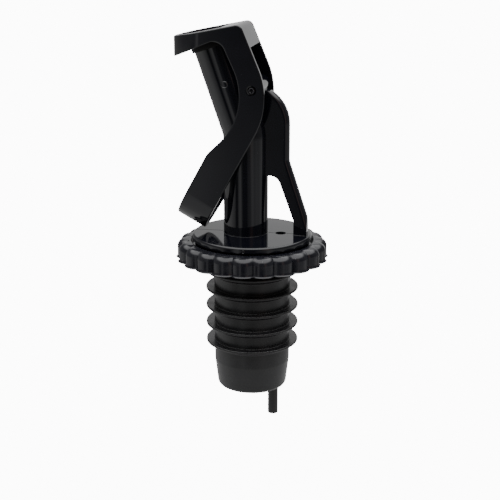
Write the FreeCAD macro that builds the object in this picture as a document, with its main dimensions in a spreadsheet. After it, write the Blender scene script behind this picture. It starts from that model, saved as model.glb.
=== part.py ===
import FreeCAD, Part
import math
import os
import Sketcher

# Self-closing bottle pourer. A one-piece spout (bent tube, round plate, back fin and leg, hollow
# tail) stands in a finned stopper that fills the bottle neck. A scalloped collar sits on the rim
# between them, and a weighted flap turns on a roll pin behind the tube to open and shut the mouth.
# Millimetres. Origin: middle of the collar's underside, where it meets the bottle rim.
# +Z goes up out of the bottle, the spout leans towards -X, the flap's pivot lies along Y.

Vec = FreeCAD.Vector
Y_AXIS = Vec(0, 1, 0)
X_AXIS = Vec(1, 0, 0)
Z_AXIS = Vec(0, 0, 1)
UPRIGHT = FreeCAD.Rotation()
REACH = 20.0            # length of the tools that cut holes and round the flap's ends
NEARLY = 0.01           # corners closer than this are the same corner

# Driving dimensions: alias, millimetres or degrees, what it is.
SIZES = [
    ("tube_radius", 5.2, "outside of the pouring tube"),
    ("bore_radius", 4.1, "inside of the pouring tube"),
    ("tube_x", -1.5, "axis of the tube's upright part"),
    ("tube_start_z", 4.5, "where the tube leaves the plate"),
    ("bend_z", 29.76, "height where the tube's two axes cross"),
    ("bend_radius", 9.0, "of the tube's axis"),
    ("tube_tilt", 19.1, "lean of the upper tube, degrees"),
    ("tilted_length", 20.47, "from the axes' crossing to the mouth"),
    ("bore_start_z", 3.0, "lower end of the bore's tool, inside the tail"),
    ("bore_overrun", 2.0, "bore's tool past the mouth"),
    ("tool_overrun", 1.0, "other tools past the face they enter"),
    ("fin_thickness", 3.2, "fin and leg behind the tube"),
    ("pivot_x", 1.0, "flap pivot"),
    ("pivot_z", 40.05, "flap pivot"),
    ("barrel_radius", 2.2, "cross barrel round the pivot pin"),
    ("barrel_length", 11.4, "cross barrel"),
    ("pin_radius", 0.75, "roll pin"),
    ("pin_bore_radius", 0.42, "hollow of the roll pin"),
    ("pin_length", 13.5, "roll pin"),
    ("pin_slot", 0.3, "slit along the roll pin"),
    ("vent_hole_x", 6.8, "air hole in the plate"),
    ("vent_hole_radius", 1.25, "air hole in the plate"),
    ("vent_hole_floor_z", 4.4, "bottom of the air hole"),
    ("vent_x", 5.2, "axis of the air tube"),
    ("vent_bore_radius", 0.85, "air passage"),
    ("vent_bore_top_z", 5.1, "top of the air passage"),
    ("vent_tube_radius", 1.25, "outside of the air tube"),
    ("vent_tube_top_z", 2.4, "top of the air tube in its socket"),
    ("vent_tube_bottom_z", -40.0, "lower end of the air tube"),
    ("vent_boss_radius", 1.95, "socket that holds the air tube"),
    ("vent_boss_bottom_z", -6.0, "lower end of the socket"),
    ("lever_width", 14.4, "over the flap's two side plates"),
    ("lever_wall", 1.3, "side plates, nose and cross bar"),
    ("nose_centre_x", -10.7, "centre of the rounded nose"),
    ("bar_end_x", -14.25, "middle of the paddle's lower end"),
    ("bar_end_z", 8.55, "middle of the paddle's lower end"),
    ("paddle_tilt", 28.8, "lean of the paddle, degrees"),
    ("nose_zone_z", 40.0, "the nose rounding starts above this"),
    ("lever_hole_radius", 0.8, "running hole on the roll pin"),
    ("sink_radius", 1.15, "recess round the pin's end"),
    ("sink_depth", 0.55, "recess round the pin's end"),
    ("top_corner_radius", 1.6, "flap, top back corner"),
    ("back_curve_radius", 17.0, "flap, back edge behind the pivot"),
    ("toe_radius", 1.2, "flap, front corner of the paddle"),
    ("shoulder_radius", 6.0, "flap, front shoulder of the paddle"),
    ("front_curve_radius", 14.3, "flap, front edge before the pivot"),
    ("arch_radius", 2.6, "flap, arch over the tube"),
    ("pad_radius", 5.75, "seal pad"),
    ("pad_thickness", 1.59, "seal pad"),
    ("pad_gap", 0.15, "seal pad above the mouth when shut"),
    ("pad_edge", 0.3, "rounding of the seal pad"),
    ("lobe_circle", 14.46, "radius of the circle of scallop centres"),
    ("lobe_count", 22, "scallops"),
    ("collar_turn", 10.87, "how far the collar sits turned, degrees"),
    ("fin_pitch", 4.4, "from one stopper fin to the next"),
    ("stopper_fins", 5, "fins of the stopper"),
    ("fin_top_radius", 9.0, "fin, rear edge above the straight"),
    ("fin_waist_radius", 3.0, "fin, where the leg leaves it"),
    ("leg_knee_radius", 3.0, "leg, above its foot"),
    ("fin_arch_radius", 2.5, "fin, arch between tube and leg"),
]

# Outlines: corner name and its two coordinates. Side outlines are (x, z) in the middle plane,
# turned outlines are (radius, z).
LEVER_OUTLINE = [
    ("nose_top", -17.9, 51.3), ("crown", -1.43, 54.51), ("back_bulge", 5.8, 37.1),
    ("heel", -11.0, 6.7), ("toe", -17.5, 10.4), ("shoulder", -9.21, 25.53),
    ("front_bulge", 1.2, 35.3), ("arch_peak", -6.14, 51.26), ("nose_low", -17.9, 46.56),
]
LEVER_HOLLOW = [
    ("hollow_low", -16.6, 40.0), ("hollow_front", -16.6, 48.04), ("hollow_crown", -2.22, 53.02),
    ("web_end", -0.71, 49.4), ("slot_back", 6.0, 49.4), ("slot_side", 6.0, 33.5),
    ("hollow_heel", -8.36, 6.8), ("hollow_toe", -18.88, 12.58),
]
ROOF_TRAY = [
    ("tray_front", -16.6, 49.95), ("tray_back", -5.9, 53.65),
    ("tray_rear_top", -5.9, 57.0), ("tray_front_top", -16.6, 57.0),
]
FIN_OUTLINE = [
    ("fin_top_front", -1.0, 40.4), ("fin_top_back", 4.7, 39.2), ("fin_brow", 8.75, 36.1),
    ("fin_waist", 8.75, 23.2), ("leg_knee", 13.1, 10.1), ("foot_back", 13.1, 4.5),
    ("foot_front", 10.0, 4.5), ("leg_front", 10.0, 9.3), ("fin_arch", 6.12, 19.85),
    ("arch_tube", 0.0, 19.85), ("fin_bend", 0.0, 29.0),
]
PLATE_PROFILE = [
    ("plate_centre", 0.0, 3.9), ("tail_inside", 6.5, 3.9), ("tail_inside_end", 6.5, -20.0),
    ("tail_tip", 7.2, -20.0), ("tail_lead", 7.6, -19.0), ("tail_outside", 7.6, 3.2),
    ("skirt_inside", 12.7, 3.2), ("skirt_outside", 13.5, 3.2), ("groove_low", 13.5, 4.35),
    ("rim_low", 14.05, 4.6), ("rim_high", 14.05, 5.5), ("rim_edge", 13.75, 5.9),
    ("plate_top", 0.0, 5.9),
]
COLLAR_PROFILE = [
    ("collar_bore_low", 9.3, 0.0), ("collar_low", 16.4, 0.0), ("collar_shoulder", 16.4, 2.6),
    ("collar_top", 14.9, 4.3), ("collar_top_inside", 9.3, 4.3),
]
LOBE_PROFILE = [
    ("lobe_axis_low", 14.46, 0.0), ("lobe_lip_low", 18.0, 0.0), ("lobe_lip", 18.0, 0.15),
    ("lobe_foot", 17.65, 0.6), ("lobe_side", 17.65, 2.6), ("lobe_dome_low", 17.42, 3.45),
    ("lobe_dome_high", 16.8, 4.07), ("lobe_crest", 15.95, 4.3), ("lobe_axis_top", 14.46, 4.3),
]
COLLAR_RECESS = [
    ("recess_bore_low", 0.0, -1.0), ("recess_bore", 9.3, -1.0), ("recess_bore_top", 9.3, 1.8),
    ("recess_flange", 12.7, 1.8), ("recess_step", 12.7, 3.2), ("recess_floor", 14.3, 3.2),
    ("recess_lip", 14.3, 4.0), ("recess_mouth", 14.6, 5.5), ("recess_top", 0.0, 5.5),
]
STOPPER_PROFILE = [
    ("flange_inside", 7.55, 3.2), ("flange_top", 12.6, 3.2), ("flange_low", 12.6, 1.8),
    ("core_top", 9.0, 1.8), ("core_low", 9.0, -25.5), ("tip_side", 8.3, -31.4),
    ("tip_edge", 7.9, -32.0), ("tip_inside", 6.6, -32.0), ("step_inside", 6.6, -20.3),
    ("step_outside", 7.55, -20.3),
]
STOPPER_FIN = [
    ("fin_root_low", 8.6, -4.3), ("fin_tip_low", 11.0, -3.3), ("fin_tip_high", 11.0, -2.7),
    ("fin_root_high", 8.6, -2.7),
]

doc = FreeCAD.newDocument("bottle_pourer")
sheet = doc.addObject("Spreadsheet::Sheet", "Sizes")
size = {}


def add_size(alias, value, note):
    """Writes one named number to the next row of the sheet."""
    row = len(size) + 1
    sheet.set("A%d" % row, alias)
    sheet.set("B%d" % row, repr(value))
    sheet.set("C%d" % row, note)
    sheet.setAlias("B%d" % row, alias)
    size[alias] = value


for alias, value, note in SIZES:
    add_size(alias, value, note)
for outline in (LEVER_OUTLINE, LEVER_HOLLOW, ROOF_TRAY, FIN_OUTLINE, PLATE_PROFILE,
                COLLAR_PROFILE, LOBE_PROFILE, COLLAR_RECESS, STOPPER_PROFILE, STOPPER_FIN):
    for corner, across, up in outline:
        add_size(corner + "_across", across, "outline corner")
        add_size(corner + "_up", up, "outline corner")
doc.recompute()


def bind(item, **expressions):
    """Ties properties of an object to cells of the sheet."""
    for prop, expression in expressions.items():
        words = expression.split()
        item.setExpression(prop, " ".join("Sizes." + w if w in size else w for w in words))


def new_body(label):
    body = doc.addObject("PartDesign::Body", label)
    body.Label = label
    return body


def new_sketch(body, name, role="XZ_Plane"):
    sketch = body.newObject("Sketcher::SketchObject", name)
    plane = [f for f in body.Origin.OriginFeatures if f.Role == role][0]
    sketch.AttachmentSupport = [(plane, "")]
    sketch.MapMode = "FlatFace"
    return sketch


def outline_sketch(body, name, corners):
    """A closed outline of straight lines whose corners are held by cells of the sheet."""
    sketch = new_sketch(body, name)
    count = len(corners)
    for i in range(count):
        start = Vec(corners[i][1], corners[i][2], 0)
        end = Vec(corners[(i + 1) % count][1], corners[(i + 1) % count][2], 0)
        sketch.addGeometry(Part.LineSegment(start, end))
    for i in range(count):
        sketch.addConstraint(Sketcher.Constraint("Coincident", i, 2, (i + 1) % count, 1))
    for i, (corner, across, up) in enumerate(corners):
        for kind, value, suffix in (("DistanceX", across, "_across"), ("DistanceY", up, "_up")):
            index = sketch.addConstraint(Sketcher.Constraint(kind, i, 1, value))
            sketch.renameConstraint(index, corner + suffix)
            sketch.setExpression("Constraints." + corner + suffix, "Sizes." + corner + suffix)
    return sketch


def circle_sketch(body, name, role, across, up, radius):
    """A circle at fixed cells; across and up are aliases or None for zero."""
    sketch = new_sketch(body, name, role)
    centre = Vec(size.get(across, 0), size.get(up, 0), 0)
    sketch.addGeometry(Part.Circle(centre, Z_AXIS, size[radius]))
    for kind, alias, place in (("DistanceX", across, 3), ("DistanceY", up, 3)):
        index = sketch.addConstraint(Sketcher.Constraint(kind, 0, place, size.get(alias, 0)))
        if alias:
            sketch.renameConstraint(index, alias)
            sketch.setExpression("Constraints." + alias, "Sizes." + alias)
    index = sketch.addConstraint(Sketcher.Constraint("Radius", 0, size[radius]))
    sketch.renameConstraint(index, radius)
    sketch.setExpression("Constraints." + radius, "Sizes." + radius)
    return sketch


def add_pad(body, name, sketch, length):
    pad = body.newObject("PartDesign::Pad", name)
    pad.Profile = sketch
    pad.SideType = "Symmetric"
    bind(pad, Length=length)
    return pad


def add_turned(body, name, sketch, kind="PartDesign::Revolution", axis="V_Axis"):
    turned = body.newObject(kind, name)
    turned.Profile = sketch
    turned.ReferenceAxis = (sketch, [axis])
    turned.Angle = 360
    return turned


def add_cylinder(body, name, radius, height, base, turn=UPRIGHT, remove=False):
    """A cylinder added to or cut from a body; base is the centre of its first end."""
    kind = "PartDesign::SubtractiveCylinder" if remove else "PartDesign::AdditiveCylinder"
    cylinder = body.newObject(kind, name)
    bind(cylinder, Radius=radius)
    if isinstance(height, str):
        bind(cylinder, Height=height)
    else:
        cylinder.Height = height
    cylinder.Placement = FreeCAD.Placement(base, turn)
    return cylinder


def edges_across(shape, across, up):
    """Names of the straight edges along Y that pass through (across, up)."""
    found = []
    for number, edge in enumerate(shape.Edges, 1):
        ends = [v.Point for v in edge.Vertexes]
        offsets = [max(abs(p.x - across), abs(p.z - up)) for p in ends]
        if len(ends) == 2 and max(offsets) < NEARLY:
            found.append("Edge%d" % number)
    return found


def round_corner(body, base, corners, corner, radius):
    """Rounds one upright corner of a padded outline."""
    across, up = [(a, u) for name, a, u in corners if name == corner][0]
    doc.recompute()
    fillet = body.newObject("PartDesign::Fillet", corner + "_round")
    fillet.Base = (base, edges_across(base.Shape, across, up))
    bind(fillet, Radius=radius)
    doc.recompute()
    return fillet


def part_solid(kind, name, placement, **expressions):
    """A Part primitive with its sizes tied to the sheet."""
    item = doc.addObject(kind, name)
    bind(item, **expressions)
    item.Placement = placement
    return item


def cut(name, base, tool):
    result = doc.addObject("Part::Cut", name)
    result.Base = base
    result.Tool = tool
    return result


# The tube's axis: up from the plate, round the bend, then leaning forward to the mouth.
tilt = math.radians(size["tube_tilt"])
lean = Vec(-math.sin(tilt), 0, math.cos(tilt))
crossing = Vec(size["tube_x"], 0, size["bend_z"])
mouth = crossing + lean * size["tilted_length"]
bend_run = size["bend_radius"] * math.tan(tilt / 2)


def tube_path(body, name, start_z, overrun):
    """The tube's axis as a sketch: a line, an arc and a line, in the middle plane."""
    bend_start = crossing - Vec(0, 0, bend_run)
    bend_end = crossing + lean * bend_run
    end = mouth + lean * overrun
    half = FreeCAD.Rotation(Y_AXIS, -size["tube_tilt"] / 2)
    centre = bend_start - X_AXIS * size["bend_radius"]
    middle = centre + half.multVec(X_AXIS) * size["bend_radius"]
    flat = [Vec(p.x, p.z, 0) for p in (Vec(size["tube_x"], 0, start_z), bend_start, middle,
                                       bend_end, end)]
    sketch = new_sketch(body, name)
    sketch.addGeometry(Part.LineSegment(flat[0], flat[1]))
    sketch.addGeometry(Part.Arc(flat[1], flat[2], flat[3]))
    sketch.addGeometry(Part.LineSegment(flat[3], flat[4]))
    sketch.addConstraint(Sketcher.Constraint("Coincident", 0, 2, 1, 1))
    sketch.addConstraint(Sketcher.Constraint("Coincident", 1, 2, 2, 1))
    return sketch


def add_pipe(body, name, radius, start_z, overrun, remove=False):
    """The tube or its bore, swept along the tube's axis."""
    kind = "PartDesign::SubtractivePipe" if remove else "PartDesign::AdditivePipe"
    ring = circle_sketch(body, name + "_ring", "XY_Plane", "tube_x", None, radius)
    ring.AttachmentOffset = FreeCAD.Placement(Vec(0, 0, start_z), UPRIGHT)
    path = tube_path(body, name + "_path", start_z, overrun)
    pipe = body.newObject(kind, name)
    pipe.Profile = ring
    pipe.Spine = path
    return pipe


def along_y(x, z, length):
    """First end and turn of a cylinder along Y whose middle is at (x, 0, z)."""
    return Vec(x, length / 2, z), FreeCAD.Rotation(X_AXIS, 90)


def make_spout_body():
    body = new_body("spout_body")
    add_turned(body, "plate_and_tail", outline_sketch(body, "plate_profile", PLATE_PROFILE))
    add_pipe(body, "tube", "tube_radius", size["tube_start_z"], 0.0)
    fin = add_pad(body, "fin_and_leg", outline_sketch(body, "fin_outline", FIN_OUTLINE),
                  "fin_thickness")
    for corner, radius in (("fin_brow", "fin_top_radius"), ("fin_waist", "fin_waist_radius"),
                           ("leg_knee", "leg_knee_radius"), ("fin_arch", "fin_arch_radius")):
        fin = round_corner(body, fin, FIN_OUTLINE, corner, radius)
    base, turn = along_y(size["pivot_x"], size["pivot_z"], size["barrel_length"])
    add_cylinder(body, "pivot_barrel", "barrel_radius", "barrel_length", base, turn)
    boss_height = "vent_hole_floor_z - vent_boss_bottom_z"
    add_cylinder(body, "vent_boss", "vent_boss_radius", boss_height,
                 Vec(size["vent_x"], 0, size["vent_boss_bottom_z"]))
    add_pipe(body, "tube_bore", "bore_radius", size["bore_start_z"], size["bore_overrun"],
             remove=True)
    base, turn = along_y(size["pivot_x"], size["pivot_z"], REACH)
    add_cylinder(body, "pin_hole", "pin_radius", REACH, base, turn, remove=True)
    add_cylinder(body, "vent_hole", "vent_hole_radius", REACH,
                 Vec(size["vent_hole_x"], 0, size["vent_hole_floor_z"]), remove=True)
    add_cylinder(body, "vent_bore", "vent_bore_radius", REACH,
                 Vec(size["vent_x"], 0, size["vent_bore_top_z"] - REACH), remove=True)
    add_cylinder(body, "vent_socket", "vent_tube_radius", REACH,
                 Vec(size["vent_x"], 0, size["vent_tube_top_z"] - REACH), remove=True)
    return body


def corner_tool(name, radius, placement):
    """What lies outside a half-round end: a block with a round bar taken out of it.

    In the placement's own frame the bar's axis is X and the end points towards -Z.
    """
    corner = Vec(-REACH / 2, -REACH / 2, -REACH / 2)
    block = part_solid("Part::Box", name + "_block",
                       placement * FreeCAD.Placement(corner, UPRIGHT))
    block.Length = REACH
    block.Width = REACH
    block.Height = REACH / 2
    along_x = FreeCAD.Rotation(Z_AXIS, X_AXIS)
    bar = part_solid("Part::Cylinder", name + "_bar",
                     placement * FreeCAD.Placement(X_AXIS * -REACH, along_x), Radius=radius)
    bar.Height = REACH * 2
    return cut(name, block, bar)


def nose_placement():
    """Frame at the nose's centre with -Z towards the nose and X along the nose's height."""
    turn = FreeCAD.Rotation(Z_AXIS, Y_AXIS, X_AXIS, "ZXY")
    return FreeCAD.Placement(Vec(size["nose_centre_x"], 0, size["nose_zone_z"] + REACH / 2), turn)


def bar_placement():
    """Frame at the centre of the cross bar's bend, with -Z down the paddle."""
    turn = FreeCAD.Rotation(Y_AXIS, size["paddle_tilt"])
    end = Vec(size["bar_end_x"], 0, size["bar_end_z"])
    up_paddle = turn.multVec(Z_AXIS)
    return FreeCAD.Placement(end + up_paddle * (size["lever_width"] / 2), turn)


def rounded_block(name, outline, corner_rounds, width, radius):
    """A padded side outline with its nose and its lower end made half round."""
    body = new_body(name + "_block")
    pad = add_pad(body, name + "_pad", outline_sketch(body, name + "_outline", outline), width)
    for corner, corner_radius in corner_rounds:
        pad = round_corner(body, pad, outline, corner, corner_radius)
    nosed = cut(name + "_nosed", body, corner_tool(name + "_nose", radius, nose_placement()))
    return cut(name + "_rounded", nosed, corner_tool(name + "_bar", radius, bar_placement()))


def make_flap_lever():
    rounds = [("crown", "top_corner_radius"), ("back_bulge", "back_curve_radius"),
              ("toe", "toe_radius"), ("shoulder", "shoulder_radius"),
              ("front_bulge", "front_curve_radius"), ("arch_peak", "arch_radius")]
    inside = "lever_width - 2 * lever_wall"
    outer = rounded_block("lever", LEVER_OUTLINE, rounds, "lever_width", "lever_width / 2")
    hollow = rounded_block("hollow", LEVER_HOLLOW, [], inside, "lever_width / 2 - lever_wall")
    tray_body = new_body("tray_block")
    add_pad(tray_body, "tray_pad", outline_sketch(tray_body, "tray_outline", ROOF_TRAY), inside)
    tray = cut("tray", tray_body,
               corner_tool("tray_nose", "lever_width / 2 - lever_wall", nose_placement()))
    base, turn = along_y(size["pivot_x"], size["pivot_z"], REACH)
    hole = part_solid("Part::Cylinder", "lever_hole", FreeCAD.Placement(base, turn),
                      Radius="lever_hole_radius")
    hole.Height = REACH
    shape = cut("lever_open", outer, hollow)
    shape = cut("lever_trayed", shape, tray)
    shape = cut("lever_bored", shape, hole)
    for side, where in ((-1, "near"), (1, "far")):
        face = side * (size["lever_width"] / 2 - size["sink_depth"])
        turn = FreeCAD.Rotation(Z_AXIS, Y_AXIS * side)
        place = FreeCAD.Placement(Vec(size["pivot_x"], face, size["pivot_z"]), turn)
        tool = part_solid("Part::Cylinder", "sink_" + where, place, Radius="sink_radius")
        tool.Height = REACH
        shape = cut("lever_sunk_" + where, shape, tool)
    shape.Label = "flap_lever"
    return shape


def make_seal_pad():
    body = new_body("seal_pad")
    disc = add_cylinder(body, "pad_disc", "pad_radius", "pad_thickness", Vec(0, 0, 0))
    doc.recompute()
    fillet = body.newObject("PartDesign::Fillet", "pad_rim")
    fillet.Base = (disc, ["Edge1", "Edge3"])
    bind(fillet, Radius="pad_edge")
    turn = FreeCAD.Rotation(Y_AXIS, -size["tube_tilt"])
    body.Placement = FreeCAD.Placement(mouth + lean * size["pad_gap"], turn)
    return body


def make_pivot_pin():
    """A slit roll pin; the slit faces down."""
    body = new_body("pivot_pin")
    add_cylinder(body, "pin_outside", "pin_radius", "pin_length", Vec(0, 0, 0))
    below = Z_AXIS * -size["tool_overrun"]
    add_cylinder(body, "pin_hollow", "pin_bore_radius", REACH, below, remove=True)
    slit = body.newObject("PartDesign::SubtractiveBox", "pin_slit")
    bind(slit, Length="pin_slot", Width="pin_radius * 2")
    slit.Height = REACH
    corner = below - X_AXIS * (size["pin_slot"] / 2) - Y_AXIS * (size["pin_radius"] * 2)
    slit.Placement = FreeCAD.Placement(corner, UPRIGHT)
    base, turn = along_y(size["pivot_x"], size["pivot_z"], size["pin_length"])
    body.Placement = FreeCAD.Placement(base, turn)
    return body


def make_scalloped_collar():
    body = new_body("scalloped_collar")
    add_turned(body, "collar_ring", outline_sketch(body, "collar_profile", COLLAR_PROFILE))
    sketch = outline_sketch(body, "lobe_profile", LOBE_PROFILE)
    axis_foot = X_AXIS * size["lobe_circle"]
    axis_line = sketch.addGeometry(Part.LineSegment(axis_foot, axis_foot + Y_AXIS * REACH), True)
    sketch.addConstraint(Sketcher.Constraint("Block", axis_line))
    lobe = add_turned(body, "lobe", sketch, axis="Axis0")
    ring = body.newObject("PartDesign::PolarPattern", "lobes")
    ring.Originals = [lobe]
    ring.Axis = (sketch, ["V_Axis"])
    ring.Angle = 360
    bind(ring, Occurrences="lobe_count")
    body.Tip = ring
    doc.recompute()
    add_turned(body, "collar_recess", outline_sketch(body, "recess_profile", COLLAR_RECESS),
               "PartDesign::Groove")
    body.Placement = FreeCAD.Placement(Vec(), FreeCAD.Rotation(Z_AXIS, size["collar_turn"]))
    return body


def make_finned_stopper():
    body = new_body("finned_stopper")
    add_turned(body, "stopper_core", outline_sketch(body, "stopper_profile", STOPPER_PROFILE))
    sketch = outline_sketch(body, "fin_profile", STOPPER_FIN)
    fin = add_turned(body, "stopper_fin", sketch)
    row = body.newObject("PartDesign::LinearPattern", "fins")
    row.Originals = [fin]
    row.Direction = (sketch, ["V_Axis"])
    row.Reversed = True
    bind(row, Length="fin_pitch * ( stopper_fins - 1 )", Occurrences="stopper_fins")
    body.Tip = row
    return body


def make_vent_tube():
    body = new_body("vent_tube")
    base = Vec(size["vent_x"], 0, size["vent_tube_bottom_z"])
    length = "vent_tube_top_z - vent_tube_bottom_z"
    add_cylinder(body, "vent_outside", "vent_tube_radius", length, base)
    add_cylinder(body, "vent_inside", "vent_bore_radius", length + " + 2 * tool_overrun",
                 base - Z_AXIS * size["tool_overrun"], remove=True)
    return body


parts = [make_spout_body(), make_pivot_pin(), make_vent_tube(), make_scalloped_collar(),
         make_finned_stopper(), make_flap_lever(), make_seal_pad()]
doc.recompute()

for item in doc.Objects:
    if "Invalid" in item.State or "Error" in item.State:
        raise RuntimeError("%s did not build: %s" % (item.Label, item.State))
os.makedirs("parts", exist_ok=True)
for item in parts:
    shape = item.Shape
    if shape.isNull() or not shape.isValid() or len(shape.Solids) != 1:
        raise RuntimeError("%s is not one valid solid" % item.Label)
    shape.exportStep("parts/%s.step" % item.Label)
    box = shape.BoundBox
    print("%-18s %8.1f mm3  x %6.1f %6.1f  y %6.1f %6.1f  z %6.1f %6.1f" % (
        item.Label, shape.Volume, box.XMin, box.XMax, box.YMin, box.YMax, box.ZMin, box.ZMax))
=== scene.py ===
import math

import bmesh
import bpy
from mathutils import Matrix, Vector


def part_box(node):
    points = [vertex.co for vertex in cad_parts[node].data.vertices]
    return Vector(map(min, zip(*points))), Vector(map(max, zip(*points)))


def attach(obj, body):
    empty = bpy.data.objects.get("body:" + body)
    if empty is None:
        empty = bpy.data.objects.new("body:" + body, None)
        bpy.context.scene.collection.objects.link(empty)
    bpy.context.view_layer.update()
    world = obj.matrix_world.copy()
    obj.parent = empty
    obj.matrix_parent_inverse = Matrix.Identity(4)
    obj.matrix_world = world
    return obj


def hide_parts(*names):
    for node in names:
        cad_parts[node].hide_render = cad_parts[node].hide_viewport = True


# Self-closing bottle pourer: glossy black spout and flap, satin collar and finned stopper.
# Every piece is modelled in millimetres and scaled to metres once, when it becomes an object.

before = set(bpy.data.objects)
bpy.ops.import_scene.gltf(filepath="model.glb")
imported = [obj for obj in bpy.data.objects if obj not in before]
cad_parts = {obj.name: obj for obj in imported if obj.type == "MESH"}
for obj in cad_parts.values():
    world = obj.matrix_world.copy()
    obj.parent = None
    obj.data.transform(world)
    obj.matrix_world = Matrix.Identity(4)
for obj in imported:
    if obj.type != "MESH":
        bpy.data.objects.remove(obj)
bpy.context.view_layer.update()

MM = 0.001
FULL_TURN = 2 * math.pi

PIVOT = Vector((1.0, 0.0, 40.05))       # flap pivot
TUBE_LEAN = math.radians(19.1)          # lean of the tube's upper part
LEVER_HALF_WIDTH = 7.2                  # middle plane to the outside of a side plate
NOSE_CENTRE_X = -10.7                   # centre of the hood's rounded nose
NOSE_ZONE_Z = 40.0                      # the nose is above this height
PADDLE_LEAN = math.radians(28.8)        # lean of the flap's lower part
PADDLE_END = Vector((-14.25, 0.0, 8.55))
RECESS_FLOOR_Y = 6.65                   # recess round the pin's end, outside of its floor
SHARP = math.radians(32)                # edges sharper than this stay crisp when shaded
ON = 0.02                               # points this close to a surface lie on it
PLATE_TOP = 5.9
RIM_INSIDE = 13.7                       # the plate's rounded rim is outside this radius
RIM_FOOT_Z = 5.4                        # and above this height
FIN_HALF = 1.6                          # half the thickness of the fin and leg
TUBE_X = -1.5                           # axis of the tube's upright part
TUBE_RADIUS = 5.2
TUBE_CROSSING_Z = 29.76                 # height where the tube's two axes cross
RIDGE_WIDTH = 0.14
RIDGE_HEIGHT = 0.03
RIDGE_END_X = 9.8                       # the ridge stops here, short of the leg
CLEAR_OF_TUBE = 0.2                     # gap left between the ridge and the tube
CLEAR_OF_HOLE = 1.3                     # the same, from the air hole's axis
AIR_HOLE_X = 6.8                        # axis of the air hole in the plate
VENT_X = 5.2                            # axis of the air tube
LOBES = 22                              # scallops of the collar
LOBE_PITCH = FULL_TURN / LOBES
LOBE_CIRCLE = 14.46                     # radius of the circle of the scallops' own axes
LOBE_RADIUS = 3.19
LOBE_FLAT = 0.44                        # the flat inner part of the top ends this far outside them
CROWDED = 0.02                          # how close the rings of points lie where scallops meet
DOME_RADIUS = 1.7                       # rounding of each scallop's top
DOME_BASE_Z = 2.6
COLLAR_TURN = math.radians(10.87)
STOPPER_FINS = 5
FIN_PITCH = 4.4
FIRST_FIN_Z = -2.7
FIN_RADIUS = 11.0
SLEEVE_RADIUS = 9.0                     # the stopper between its fins
PIN_RADIUS = 0.75
PIN_BORE = 0.42
PIN_HALF_LENGTH = 6.75
PIN_SLIT_HALF = 0.15
PIN_CHAMFER = 0.16

UP_TUBE = Vector((-math.sin(TUBE_LEAN), 0, math.cos(TUBE_LEAN)))
ACROSS_TUBE = Vector((math.cos(TUBE_LEAN), 0, math.sin(TUBE_LEAN)))
UP_PADDLE = Vector((math.sin(PADDLE_LEAN), 0, math.cos(PADDLE_LEAN)))


# ---------------------------------------------------------------- mesh helpers

def finished(bm, name, material, body, slot, *nodes):
    """Turns a bmesh in millimetres into a piece that rides on a body and stands for CAD nodes."""
    bmesh.ops.scale(bm, vec=(MM, MM, MM), verts=bm.verts)
    for face in bm.faces:
        face.smooth = True
    for edge in bm.edges:
        edge.smooth = len(edge.link_faces) == 2 and edge.calc_face_angle(0) < SHARP
    mesh = bpy.data.meshes.new(name)
    bm.to_mesh(mesh)
    bm.free()
    mesh.materials.append(material)
    piece = bpy.data.objects.new(name, mesh)
    bpy.context.scene.collection.objects.link(piece)
    flat = piece.modifiers.new("flat_faces_stay_flat", "WEIGHTED_NORMAL")
    flat.keep_sharp = True
    flat.weight = 90
    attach(piece, body)
    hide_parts(*nodes)
    return piece


def rounded(corners, steps=5):
    """Points of an outline. Each corner is (across, up) or (across, up, radius) to round it."""
    points = []
    count = len(corners)
    for i, corner in enumerate(corners):
        here = Vector(corner[:2])
        if len(corner) < 3:
            points.append(here)
            continue
        before = (Vector(corners[i - 1][:2]) - here).normalized()
        after = (Vector(corners[(i + 1) % count][:2]) - here).normalized()
        half = before.angle(after) / 2
        centre = here + (before + after).normalized() * (corner[2] / math.sin(half))
        run = corner[2] / math.tan(half)
        start = here + before * run - centre
        sweep = start.angle_signed(here + after * run - centre)
        for k in range(steps + 1):
            turn = Matrix.Rotation(-sweep * k / steps, 2)
            points.append(centre + turn @ start)
    return points


def turned(bm, corners, steps=96, centre=(0, 0, 0), axis=(0, 0, 1), side=(1, 0, 0), arc=5):
    """A closed section (radius, height) spun round an axis into a ring-shaped solid."""
    axis = Vector(axis).normalized()
    side = Vector(side).normalized()
    centre = Vector(centre)
    verts = [bm.verts.new(centre + side * p.x + axis * p.y) for p in rounded(corners, arc)]
    edges = [bm.edges.new((verts[i - 1], verts[i])) for i in range(len(verts))]
    bmesh.ops.spin(bm, geom=verts + edges, cent=centre, axis=axis, angle=FULL_TURN,
                   steps=steps, use_merge=True, use_duplicate=False)
    bmesh.ops.remove_doubles(bm, verts=bm.verts, dist=1e-4)
    bmesh.ops.recalc_face_normals(bm, faces=bm.faces)
    return bm


def cad_copy(node):
    """The CAD solid as a clean mesh in millimetres, flat faces joined."""
    bm = bmesh.new()
    bm.from_mesh(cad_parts[node].data)
    bmesh.ops.scale(bm, vec=(1 / MM, 1 / MM, 1 / MM), verts=bm.verts)
    bmesh.ops.remove_doubles(bm, verts=bm.verts, dist=1e-4)
    bmesh.ops.dissolve_limit(bm, angle_limit=math.radians(0.6), verts=bm.verts, edges=bm.edges)
    return bm


def soften(bm, width, segments, wanted, least=40, clamp=True):
    """Rounds the edges that are sharper than least degrees and that wanted(edge) accepts."""
    sharp = [e for e in bm.edges if len(e.link_faces) == 2
             and e.calc_face_angle(0) > math.radians(least) and wanted(e)]
    bmesh.ops.bevel(bm, geom=sharp, offset=width, offset_type="OFFSET", segments=segments,
                    profile=0.5, affect="EDGES", clamp_overlap=clamp, material=-1)


def all_ends(edge, test):
    return all(test(v.co) for v in edge.verts)


# ---------------------------------------------------------------- materials

def group_socket(group, name, kind, way="INPUT", value=None):
    socket = group.interface.new_socket(name=name, in_out=way, socket_type=kind)
    if value is not None:
        socket.default_value = value
    return socket


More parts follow.
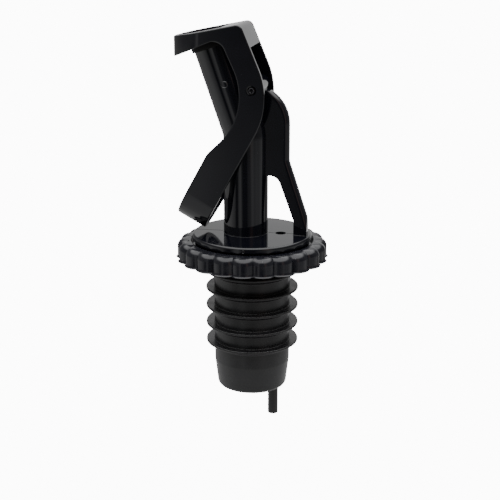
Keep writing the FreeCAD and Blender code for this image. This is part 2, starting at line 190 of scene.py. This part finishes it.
def new_group(name):
    group = bpy.data.node_groups.new(name, "ShaderNodeTree")
    group_socket(group, "Scale", "NodeSocketFloat", value=1.0)
    group_socket(group, "Amount", "NodeSocketFloat", value=1.0)
    return group


def add_node(tree, kind, **settings):
    node = tree.nodes.new(kind)
    for key, value in settings.items():
        setattr(node, key, value)
    return node


def spread(tree, low, high, bottom=0.0, top=1.0, kind="LINEAR"):
    """A Map Range node that takes low..high to bottom..top."""
    node = add_node(tree, "ShaderNodeMapRange", interpolation_type=kind)
    for socket, value in (("From Min", low), ("From Max", high), ("To Min", bottom), ("To Max", top)):
        node.inputs[socket].default_value = value
    return node


def mix(tree, kind="MIX", **sockets):
    """A colour Mix node with the given values on its sockets Factor, A and B."""
    node = add_node(tree, "ShaderNodeMix", data_type="RGBA", blend_type=kind)
    for socket, value in sockets.items():
        node.inputs[socket].default_value = value
    return node


def moulding_skin():
    """Group: the gentle unevenness of a moulded surface. Puts out a height and a gloss mask."""
    group = new_group("moulding_skin")
    group_socket(group, "Height", "NodeSocketFloat", "OUTPUT")
    group_socket(group, "Smudge", "NodeSocketFloat", "OUTPUT")
    into = add_node(group, "NodeGroupInput")
    out = add_node(group, "NodeGroupOutput")
    place = add_node(group, "ShaderNodeTexCoord")
    waves = add_node(group, "ShaderNodeTexNoise")
    waves.inputs["Detail"].default_value = 2.0
    grain = add_node(group, "ShaderNodeTexNoise")
    grain.inputs["Detail"].default_value = 6.0
    fine = add_node(group, "ShaderNodeMath", operation="MULTIPLY")
    fine.inputs[1].default_value = 14.0
    both = add_node(group, "ShaderNodeMath", operation="MULTIPLY_ADD")
    both.inputs[1].default_value = 0.12
    height = add_node(group, "ShaderNodeMath", operation="MULTIPLY")
    smudge = spread(group, 0.35, 0.7)
    link = group.links.new
    link(into.outputs["Scale"], waves.inputs["Scale"])
    link(into.outputs["Scale"], fine.inputs[0])
    link(fine.outputs[0], grain.inputs["Scale"])
    link(place.outputs["Object"], waves.inputs["Vector"])
    link(place.outputs["Object"], grain.inputs["Vector"])
    link(grain.outputs["Fac"], both.inputs[0])
    link(waves.outputs["Fac"], both.inputs[2])
    link(both.outputs[0], height.inputs[0])
    link(into.outputs["Amount"], height.inputs[1])
    link(waves.outputs["Fac"], smudge.inputs["Value"])
    link(height.outputs[0], out.inputs["Height"])
    link(smudge.outputs[0], out.inputs["Smudge"])
    return group


def dust_specks():
    """Group: a mask of sparse pale specks of dust."""
    group = new_group("dust_specks")
    group_socket(group, "Mask", "NodeSocketFloat", "OUTPUT")
    into = add_node(group, "NodeGroupInput")
    out = add_node(group, "NodeGroupOutput")
    place = add_node(group, "ShaderNodeTexCoord")
    cells = add_node(group, "ShaderNodeTexVoronoi")
    size = add_node(group, "ShaderNodeMath", operation="LESS_THAN")
    size.inputs[1].default_value = 0.055
    chance = add_node(group, "ShaderNodeMath", operation="GREATER_THAN")
    chance.inputs[1].default_value = 0.72
    split = add_node(group, "ShaderNodeSeparateColor")
    mask = add_node(group, "ShaderNodeMath", operation="MULTIPLY")
    scaled = add_node(group, "ShaderNodeMath", operation="MULTIPLY")
    link = group.links.new
    link(into.outputs["Scale"], cells.inputs["Scale"])
    link(place.outputs["Object"], cells.inputs["Vector"])
    link(cells.outputs["Distance"], size.inputs[0])
    link(cells.outputs["Color"], split.inputs[0])
    link(split.outputs[0], chance.inputs[0])
    link(size.outputs[0], mask.inputs[0])
    link(chance.outputs[0], mask.inputs[1])
    link(mask.outputs[0], scaled.inputs[0])
    link(into.outputs["Amount"], scaled.inputs[1])
    link(scaled.outputs[0], out.inputs["Mask"])
    return group


SKIN = moulding_skin()
DUST = dust_specks()
DUST_GREY = (0.35, 0.35, 0.36, 1)


def plastic(name, dark, pale, rough, skin_scale, skin_amount, dust_amount, bump, specular=0.5):
    """A moulded finish: colour from dark to pale, roughness (clean, smudged), skin and dust."""
    material = bpy.data.materials.new(name)
    material.use_nodes = True
    tree = material.node_tree
    shader = tree.nodes["Principled BSDF"]
    shader.inputs["Specular IOR Level"].default_value = specular
    shader.inputs["IOR"].default_value = 1.49
    skin = add_node(tree, "ShaderNodeGroup", node_tree=SKIN)
    skin.inputs["Scale"].default_value = skin_scale
    skin.inputs["Amount"].default_value = skin_amount
    dust = add_node(tree, "ShaderNodeGroup", node_tree=DUST)
    dust.inputs["Scale"].default_value = 900.0
    dust.inputs["Amount"].default_value = dust_amount
    colour = mix(tree, A=dark, B=pale)
    dusty = mix(tree, B=DUST_GREY)
    gloss = spread(tree, 0.0, 1.0, *rough)
    relief = add_node(tree, "ShaderNodeBump")
    relief.inputs["Strength"].default_value = bump
    relief.inputs["Distance"].default_value = MM
    link = tree.links.new
    link(skin.outputs["Smudge"], colour.inputs["Factor"])
    link(colour.outputs["Result"], dusty.inputs["A"])
    link(dust.outputs["Mask"], dusty.inputs["Factor"])
    link(dusty.outputs["Result"], shader.inputs["Base Color"])
    link(skin.outputs["Smudge"], gloss.inputs["Value"])
    link(gloss.outputs[0], shader.inputs["Roughness"])
    link(skin.outputs["Height"], relief.inputs["Height"])
    link(relief.outputs["Normal"], shader.inputs["Normal"])
    return material


gloss_black = plastic("gloss_black_moulding",
                      dark=(0.0026, 0.0028, 0.0052, 1), pale=(0.0038, 0.0040, 0.0066, 1),
                      rough=(0.045, 0.085), skin_scale=160.0, skin_amount=0.02,
                      dust_amount=0.12, bump=0.25)
satin_black = plastic("satin_black_collar",
                      dark=(0.0060, 0.0062, 0.0095, 1), pale=(0.0100, 0.0102, 0.0135, 1),
                      rough=(0.13, 0.21), skin_scale=420.0, skin_amount=0.06,
                      dust_amount=0.45, bump=0.4, specular=0.42)
stopper_black = plastic("soft_black_stopper",
                        dark=(0.007, 0.007, 0.008, 1), pale=(0.012, 0.012, 0.013, 1),
                        rough=(0.28, 0.38), skin_scale=300.0, skin_amount=0.05,
                        dust_amount=0.3, bump=0.4)
seal_rubber = plastic("seal_rubber",
                      dark=(0.0018, 0.0018, 0.0018, 1), pale=(0.0030, 0.0030, 0.0030, 1),
                      rough=(0.55, 0.70), skin_scale=700.0, skin_amount=0.05,
                      dust_amount=0.1, bump=0.5, specular=0.15)
air_tube_black = plastic("air_tube_black",
                         dark=(0.006, 0.006, 0.007, 1), pale=(0.010, 0.010, 0.011, 1),
                         rough=(0.18, 0.26), skin_scale=350.0, skin_amount=0.05,
                         dust_amount=0.3, bump=0.4)


def pin_steel_material():
    """Drawn steel with fine lines along the pin."""
    material = bpy.data.materials.new("roll_pin_steel")
    material.use_nodes = True
    tree = material.node_tree
    shader = tree.nodes["Principled BSDF"]
    shader.inputs["Metallic"].default_value = 1.0
    place = add_node(tree, "ShaderNodeTexCoord")
    stretch = add_node(tree, "ShaderNodeMapping")
    stretch.inputs["Scale"].default_value = (1.0, 0.05, 1.0)
    lines = add_node(tree, "ShaderNodeTexNoise")
    lines.inputs["Scale"].default_value = 9000.0
    tone = mix(tree, A=(0.06, 0.06, 0.065, 1), B=(0.13, 0.13, 0.14, 1))
    gloss = spread(tree, 0.0, 1.0, 0.28, 0.45)
    link = tree.links.new
    link(place.outputs["Object"], stretch.inputs["Vector"])
    link(stretch.outputs["Vector"], lines.inputs["Vector"])
    link(lines.outputs["Fac"], tone.inputs["Factor"])
    link(lines.outputs["Fac"], gloss.inputs["Value"])
    link(tone.outputs["Result"], shader.inputs["Base Color"])
    link(gloss.outputs[0], shader.inputs["Roughness"])
    return material


pin_steel = pin_steel_material()


# ---------------------------------------------------------------- pieces

def behind_fin(point):
    """True on the back outline of the fin and leg, False on its front side."""
    if point.z > 22:
        return point.x > 4.5
    return point.x > 11.5 - 0.35 * max(0, point.z - 9.7)


def on_plate(edge, test):
    """True if an edge lies on the plate's top and test accepts both of its ends."""
    return all_ends(edge, lambda p: abs(p.z - PLATE_TOP) < ON and test(p))


def parting_ridge(bm, start, end):
    """The hair-thin ridge that the mould's parting line leaves across the plate."""
    middle = Vector(((start + end) / 2, 0, PLATE_TOP))
    size = (end - start, RIDGE_WIDTH, 2 * RIDGE_HEIGHT)
    place = Matrix.Translation(middle) @ Matrix.Diagonal((*size, 1))
    bmesh.ops.create_cube(bm, size=1.0, matrix=place)


def gate_mark(bm, centre, out, radius):
    """The small ring that the mould's gate leaves on a surface; out points away from it."""
    out = out.normalized()
    side = out.orthogonal()
    section = [(radius - 0.22, -0.2), (radius - 0.22, 0.03), (radius - 0.12, 0.1),
               (radius, 0.03), (radius, -0.2)]
    ring = turned(bmesh.new(), section, steps=32, centre=centre, axis=out, side=side)
    mesh = bpy.data.meshes.new("gate_mark")
    ring.to_mesh(mesh)
    ring.free()
    bm.from_mesh(mesh)
    bpy.data.meshes.remove(mesh)


def make_spout_moulding():
    """Plate, bent tube, fin, leg and barrel: one moulding, its outer edges and roots rounded."""
    bm = cad_copy("spout_body")
    on_rim = lambda p: math.hypot(p.x, p.y) > RIM_INSIDE and RIM_FOOT_Z < p.z < PLATE_TOP + ON
    soften(bm, 0.17, 3, lambda e: all_ends(e, on_rim), least=30)
    above = lambda p: p.z > PLATE_TOP + 0.05
    fin_back = lambda p: above(p) and abs(abs(p.y) - FIN_HALF) < ON and behind_fin(p)
    soften(bm, 1.2, 6, lambda e: all_ends(e, fin_back), least=60, clamp=False)
    soften(bm, 0.14, 3, lambda e: all_ends(e, above), least=35)
    at_tube = lambda p: abs(math.hypot(p.x - TUBE_X, p.y) - TUBE_RADIUS) < 0.05
    at_leg = lambda p: 9.9 < p.x < 13.2 and abs(p.y) < 1.7
    soften(bm, 0.15, 2, lambda e: on_plate(e, at_tube) or on_plate(e, at_leg))
    parting_ridge(bm, -RIM_INSIDE, TUBE_X - TUBE_RADIUS - CLEAR_OF_TUBE)
    parting_ridge(bm, TUBE_X + TUBE_RADIUS + CLEAR_OF_TUBE, AIR_HOLE_X - CLEAR_OF_HOLE)
    parting_ridge(bm, AIR_HOLE_X + CLEAR_OF_HOLE, RIDGE_END_X)
    on_axis = Vector((TUBE_X, 0, TUBE_CROSSING_Z)) + UP_TUBE * 11.9
    gate_mark(bm, on_axis - Vector((0, TUBE_RADIUS - 0.04, 0)), Vector((0, -1, 0)), 0.8)
    gate_mark(bm, Vector((0.46, -14.03, 4.98)), Vector((0, -1, 0)), 0.42)
    return finished(bm, "spout_moulding", gloss_black, "spout", "gloss_black", "spout_body")


def lever_skin_depth(point):
    """How far a point lies inside the flap's outer skin: side plates, nose and cross bar."""
    side = abs(point.y)
    if point.z > NOSE_ZONE_Z and point.x < NOSE_CENTRE_X:
        side = math.hypot(point.x - NOSE_CENTRE_X, point.y)
    elif point.z < NOSE_ZONE_Z:
        along = (point - PADDLE_END).dot(UP_PADDLE) - LEVER_HALF_WIDTH
        if along < 0:
            side = math.hypot(along, point.y)
    return LEVER_HALF_WIDTH - side


def from_pivot(point):
    return math.hypot(point.x - PIVOT.x, point.z - PIVOT.z)


def near_pivot(edge):
    return all_ends(edge, lambda p: from_pivot(p) < 1.4)


def make_flap_moulding():
    """The flap: outer edges well rounded, inner ones only broken, pin recesses coned inwards."""
    bm = cad_copy("flap_lever")
    for vert in bm.verts:
        across = from_pivot(vert.co)
        if abs(abs(vert.co.y) - RECESS_FLOOR_Y) < ON and across < 1.2:
            inward = 0.15 if across > 1 else 0.6
            vert.co.y -= math.copysign(inward, vert.co.y)
    outer = lambda e: all_ends(e, lambda p: abs(lever_skin_depth(p)) < 0.03)
    soften(bm, 0.3, 3, lambda e: outer(e) and not near_pivot(e), least=35)
    soften(bm, 0.12, 2, lambda e: not outer(e) and not near_pivot(e), least=50)
    return finished(bm, "flap_moulding", gloss_black, "flap", "gloss_black", "flap_lever")


def dome_height(off_axis):
    """Height of the collar's top at a distance from the nearest scallop's own axis."""
    fall = max(0.0, off_axis - (LOBE_RADIUS - DOME_RADIUS))
    return DOME_BASE_Z + math.sqrt(max(0.0, DOME_RADIUS ** 2 - fall ** 2))


def scallop(vert):
    """Bends a turned ring's point round the axis of the nearest scallop."""
    across = math.hypot(vert.co.x, vert.co.y)
    off_axis = across - LOBE_CIRCLE
    if off_axis <= LOBE_FLAT:
        return
    turn = math.atan2(vert.co.y, vert.co.x) - COLLAR_TURN
    turn -= round(turn / LOBE_PITCH) * LOBE_PITCH
    sideways = LOBE_CIRCLE * math.sin(turn)
    reach = LOBE_CIRCLE * math.cos(turn) + math.sqrt(max(0.0, off_axis ** 2 - sideways ** 2))
    reach = max(reach, LOBE_CIRCLE + LOBE_FLAT + (off_axis - LOBE_FLAT) * CROWDED)
    vert.co.x *= reach / across
    vert.co.y *= reach / across
    if vert.co.z > DOME_BASE_Z:
        vert.co.z = dome_height(math.hypot(reach - LOBE_CIRCLE * math.cos(turn), sideways))


def make_collar():
    """Ring with 22 scallops, domed on top and with a thin lip at the foot, round a stepped seat."""
    dome = [(LOBE_CIRCLE + LOBE_RADIUS - DOME_RADIUS * (1 - math.cos(rise)),
             DOME_BASE_Z + DOME_RADIUS * math.sin(rise))
            for rise in (math.radians(9 * k) for k in range(1, 10))]
    top = DOME_BASE_Z + DOME_RADIUS
    section = ([(9.3, 0, 0.2), (17.94, 0), (17.98, 0.04), (17.86, 0.12), (17.74, 0.24),
                (17.67, 0.45), (17.65, 0.8), (17.65, DOME_BASE_Z)] + dome
               + [(15.7, top), (15.4, top), (15.1, top), (14.9, top), (14.5, top, 0.12), (14.3, 4.0),
                  (14.3, 3.2), (12.7, 3.2), (12.7, 1.8), (9.3, 1.8, 0.2)])
    side = (math.cos(COLLAR_TURN), math.sin(COLLAR_TURN), 0)
    bm = turned(bmesh.new(), section, steps=LOBES * 16, side=side)
    for vert in bm.verts:
        scallop(vert)
    bmesh.ops.recalc_face_normals(bm, faces=bm.faces)
    return finished(bm, "collar", satin_black, "spout", "satin_black", "scalloped_collar")


def make_stopper():
    """Soft sleeve with fins that slope down to it, and a flange under the plate."""
    corners = [(7.55, 3.2), (12.6, 3.2, 0.2), (12.6, 1.8, 0.2), (SLEEVE_RADIUS, 1.8)]
    for k in range(STOPPER_FINS):
        top = FIRST_FIN_Z - FIN_PITCH * k
        corners += [(SLEEVE_RADIUS, top - 0.15, 0.12), (FIN_RADIUS, top, 0.22),
                    (FIN_RADIUS, top - 0.55, 0.2), (SLEEVE_RADIUS, top - 1.5, 0.4)]
    corners += [(SLEEVE_RADIUS, -25.5, 3.0), (8.3, -31.4, 0.8), (7.9, -32.0, 0.3),
                (6.6, -32.0, 0.3), (6.6, -20.3), (7.55, -20.3)]
    bm = turned(bmesh.new(), corners, steps=128, arc=4)
    return finished(bm, "stopper", stopper_black, "spout", "satin_black", "finned_stopper")


def make_seal():
    """Soft disc under the hood, square to the tube's mouth."""
    low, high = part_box("seal_pad")
    middle = (low + high) / 2 / MM
    corners = [(0, -0.9), (5.75, -0.9, 0.3), (5.75, 0.795, 0.3), (0, 0.795)]
    bm = turned(bmesh.new(), corners, steps=96, centre=middle, axis=UP_TUBE, side=ACROSS_TUBE)
    return finished(bm, "seal", seal_rubber, "flap", "seal_rubber", "seal_pad")


def make_pin():
    """Rolled steel pin: a slit tube with its ends chamfered."""
    bm = bmesh.new()
    slit = math.asin(PIN_SLIT_HALF / PIN_RADIUS)
    section = rounded([(PIN_BORE, -PIN_HALF_LENGTH, PIN_CHAMFER / 2),
                       (PIN_RADIUS, -PIN_HALF_LENGTH, PIN_CHAMFER),
                       (PIN_RADIUS, PIN_HALF_LENGTH, PIN_CHAMFER),
                       (PIN_BORE, PIN_HALF_LENGTH, PIN_CHAMFER / 2)], 3)
    turn = Matrix.Rotation(slit, 3, "Y")
    verts = [bm.verts.new(PIVOT + turn @ Vector((0, p.y, -p.x))) for p in section]
    face = bm.faces.new(verts)
    bmesh.ops.spin(bm, geom=[face], cent=PIVOT, axis=(0, 1, 0), angle=FULL_TURN - 2 * slit,
                   steps=40)
    bmesh.ops.recalc_face_normals(bm, faces=bm.faces)
    return finished(bm, "roll_pin", pin_steel, "spout", "pin_steel", "pivot_pin")


def make_air_tube():
    """Thin tube that lets air down past the drink, pressed in the tail."""
    bm = turned(bmesh.new(), [(0.85, -40, 0.15), (1.25, -40, 0.15), (1.25, 2.4), (0.85, 2.4)],
                steps=48, centre=(VENT_X, 0, 0))
    return finished(bm, "air_tube", air_tube_black, "spout", "air_tube_plastic", "vent_tube")


make_spout_moulding()
make_flap_moulding()
make_collar()
make_stopper()
make_seal()
make_pin()
make_air_tube()


# ---------------------------------------------------------------- floor, light and camera

def make_floor():
    """A white sheet that only the camera sees, so that it throws no light up under the object."""
    bm = bmesh.new()
    bmesh.ops.create_grid(bm, x_segments=1, y_segments=1, size=3.0)
    mesh = bpy.data.meshes.new("floor")
    bm.to_mesh(mesh)
    bm.free()
    floor = bpy.data.objects.new("floor", mesh)
    floor.location.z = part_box("vent_tube")[0].z - 0.03
    floor.visible_diffuse = False
    floor.visible_glossy = False
    bpy.context.scene.collection.objects.link(floor)
    material = bpy.data.materials.new("floor_white")
    material.use_nodes = True
    shader = material.node_tree.nodes["Principled BSDF"]
    shader.inputs["Base Color"].default_value = (0.9, 0.9, 0.9, 1)
    shader.inputs["Roughness"].default_value = 0.9
    shader.inputs["Emission Color"].default_value = (1, 1, 1, 1)
    shader.inputs["Emission Strength"].default_value = WHITE_SEEN
    mesh.materials.append(material)


# Brightness of the room round the object, low down and at its own height: degrees from the
# front (-Y) towards +X, the level, and a tint if it isn't grey.
WARM = (1.3, 0.9, 0.78)
WHITE_SEEN = 10.0                       # brightness that the camera sees behind the object
ROOM_LOW = [(-180, 0.75), (-163, 0.70), (-150, 0.30), (-135, 0.36), (-106, 0.56), (-88, 0.80),
            (-73, 0.84), (-60, 0.66), (-48, 0.46), (-40, 0.08), (-33, 0.05), (-28, 0.34),
            (-24, 0.62), (-16, 0.70), (-11, 0.30), (-6, 0.08), (15, 0.07), (22, 0.24),
            (35, 0.33), (41, 0.60), (48, 0.60), (56, 0.44), (66, 0.54), (80, 0.48),
            (92, 0.60), (108, 0.72), (122, 0.55), (135, 0.12), (146, 0.10), (160, 0.70)]
ROOM_LEVEL = [(-180, 0.75), (-163, 0.70), (-150, 0.22), (-128, 0.22), (-95, 0.32), (-60, 0.32),
              (-40, 0.34), (-28, 0.30), (-23, 0.55), (-17, 0.80), (-12, 0.13), (-4, 0.12),
              (4, 0.05), (20, 0.05), (26, 0.10), (36, 0.50, WARM), (43, 0.45, WARM), (50, 0.20),
              (60, 0.18), (92, 0.24), (122, 0.24), (135, 0.10), (146, 0.10), (160, 0.70)]


def levels(tree, table, span):
    """A ramp of the table's levels over -span..span degrees."""
    ramp = add_node(tree, "ShaderNodeValToRGB")
    stops = ramp.color_ramp.elements
    while len(stops) < len(table):
        stops.new(0.5)
    for stop, (place, level, *tint) in zip(stops, table):
        stop.position = (place + span) / (2 * span)
        stop.color = (*(level * part for part in (tint[0] if tint else (1, 1, 1))), 1)
    return ramp


def make_world():
    """The room that the object mirrors: a white backdrop, dim sides and a dark, striped front.

    The camera itself sees plain white all round.
    """
    world = bpy.data.worlds.new("white_studio")
    bpy.context.scene.world = world
    world.use_nodes = True
    tree = world.node_tree
    back = tree.nodes["Background"]
    place = add_node(tree, "ShaderNodeTexCoord")
    split = add_node(tree, "ShaderNodeSeparateXYZ")
    front = add_node(tree, "ShaderNodeMath", operation="MULTIPLY")
    front.inputs[1].default_value = -1.0
    turn = add_node(tree, "ShaderNodeMath", operation="ARCTAN2")
    turn_share = spread(tree, -math.pi, math.pi)
    room_low = levels(tree, ROOM_LOW, 180)
    room_level = levels(tree, ROOM_LEVEL, 180)
    raised = spread(tree, -0.22, -0.09)
    backdrop = spread(tree, 0.80, 0.96, top=0.78)
    floor_glow = spread(tree, -0.28, -0.42, top=0.75, kind="SMOOTHSTEP")
    overhead = spread(tree, 0.50, 0.80, kind="SMOOTHSTEP")
    room = mix(tree)
    with_backdrop = mix(tree, "LIGHTEN", Factor=1.0)
    with_floor = mix(tree, "LIGHTEN", Factor=1.0)
    with_ceiling = mix(tree, B=(3.6, 3.6, 3.6, 1))
    path = add_node(tree, "ShaderNodeLightPath")
    seen = mix(tree, B=(WHITE_SEEN, WHITE_SEEN, WHITE_SEEN, 1))
    link = tree.links.new
    link(place.outputs["Generated"], split.inputs[0])
    link(split.outputs["Y"], front.inputs[0])
    link(split.outputs["X"], turn.inputs[0])
    link(front.outputs[0], turn.inputs[1])
    link(turn.outputs[0], turn_share.inputs["Value"])
    link(turn_share.outputs[0], room_low.inputs["Fac"])
    link(turn_share.outputs[0], room_level.inputs["Fac"])
    link(split.outputs["Y"], backdrop.inputs["Value"])
    for by_height in (raised, floor_glow, overhead):
        link(split.outputs["Z"], by_height.inputs["Value"])
    link(raised.outputs[0], room.inputs["Factor"])
    link(room_low.outputs["Color"], room.inputs["A"])
    link(room_level.outputs["Color"], room.inputs["B"])
    link(room.outputs["Result"], with_backdrop.inputs["A"])
    link(backdrop.outputs[0], with_backdrop.inputs["B"])
    link(with_backdrop.outputs["Result"], with_floor.inputs["A"])
    link(floor_glow.outputs[0], with_floor.inputs["B"])
    link(overhead.outputs[0], with_ceiling.inputs["Factor"])
    link(with_floor.outputs["Result"], with_ceiling.inputs["A"])
    link(path.outputs["Is Camera Ray"], seen.inputs["Factor"])
    link(with_ceiling.outputs["Result"], seen.inputs["A"])
    link(seen.outputs["Result"], back.inputs["Color"])


def make_camera():
    """Facing the flap's side from -Y, turned a little towards the fin and looking down a little."""
    azimuth = math.radians(10.365)
    elevation = math.radians(16.537)
    distance = 0.255
    aim = Vector((-0.00050, -0.00009, 0.00138))
    back = Vector((math.sin(azimuth) * math.cos(elevation), -math.cos(azimuth) * math.cos(elevation),
                   math.sin(elevation)))
    data = bpy.data.cameras.new("camera")
    data.sensor_width = 36.0
    data.lens = 77.46
    data.clip_start = 0.01
    data.clip_end = 20.0
    camera = bpy.data.objects.new("camera", data)
    camera.location = aim + back * distance
    camera.rotation_euler = back.to_track_quat("Z", "Y").to_euler()
    bpy.context.scene.collection.objects.link(camera)
    bpy.context.scene.camera = camera


make_floor()
make_world()
make_camera()
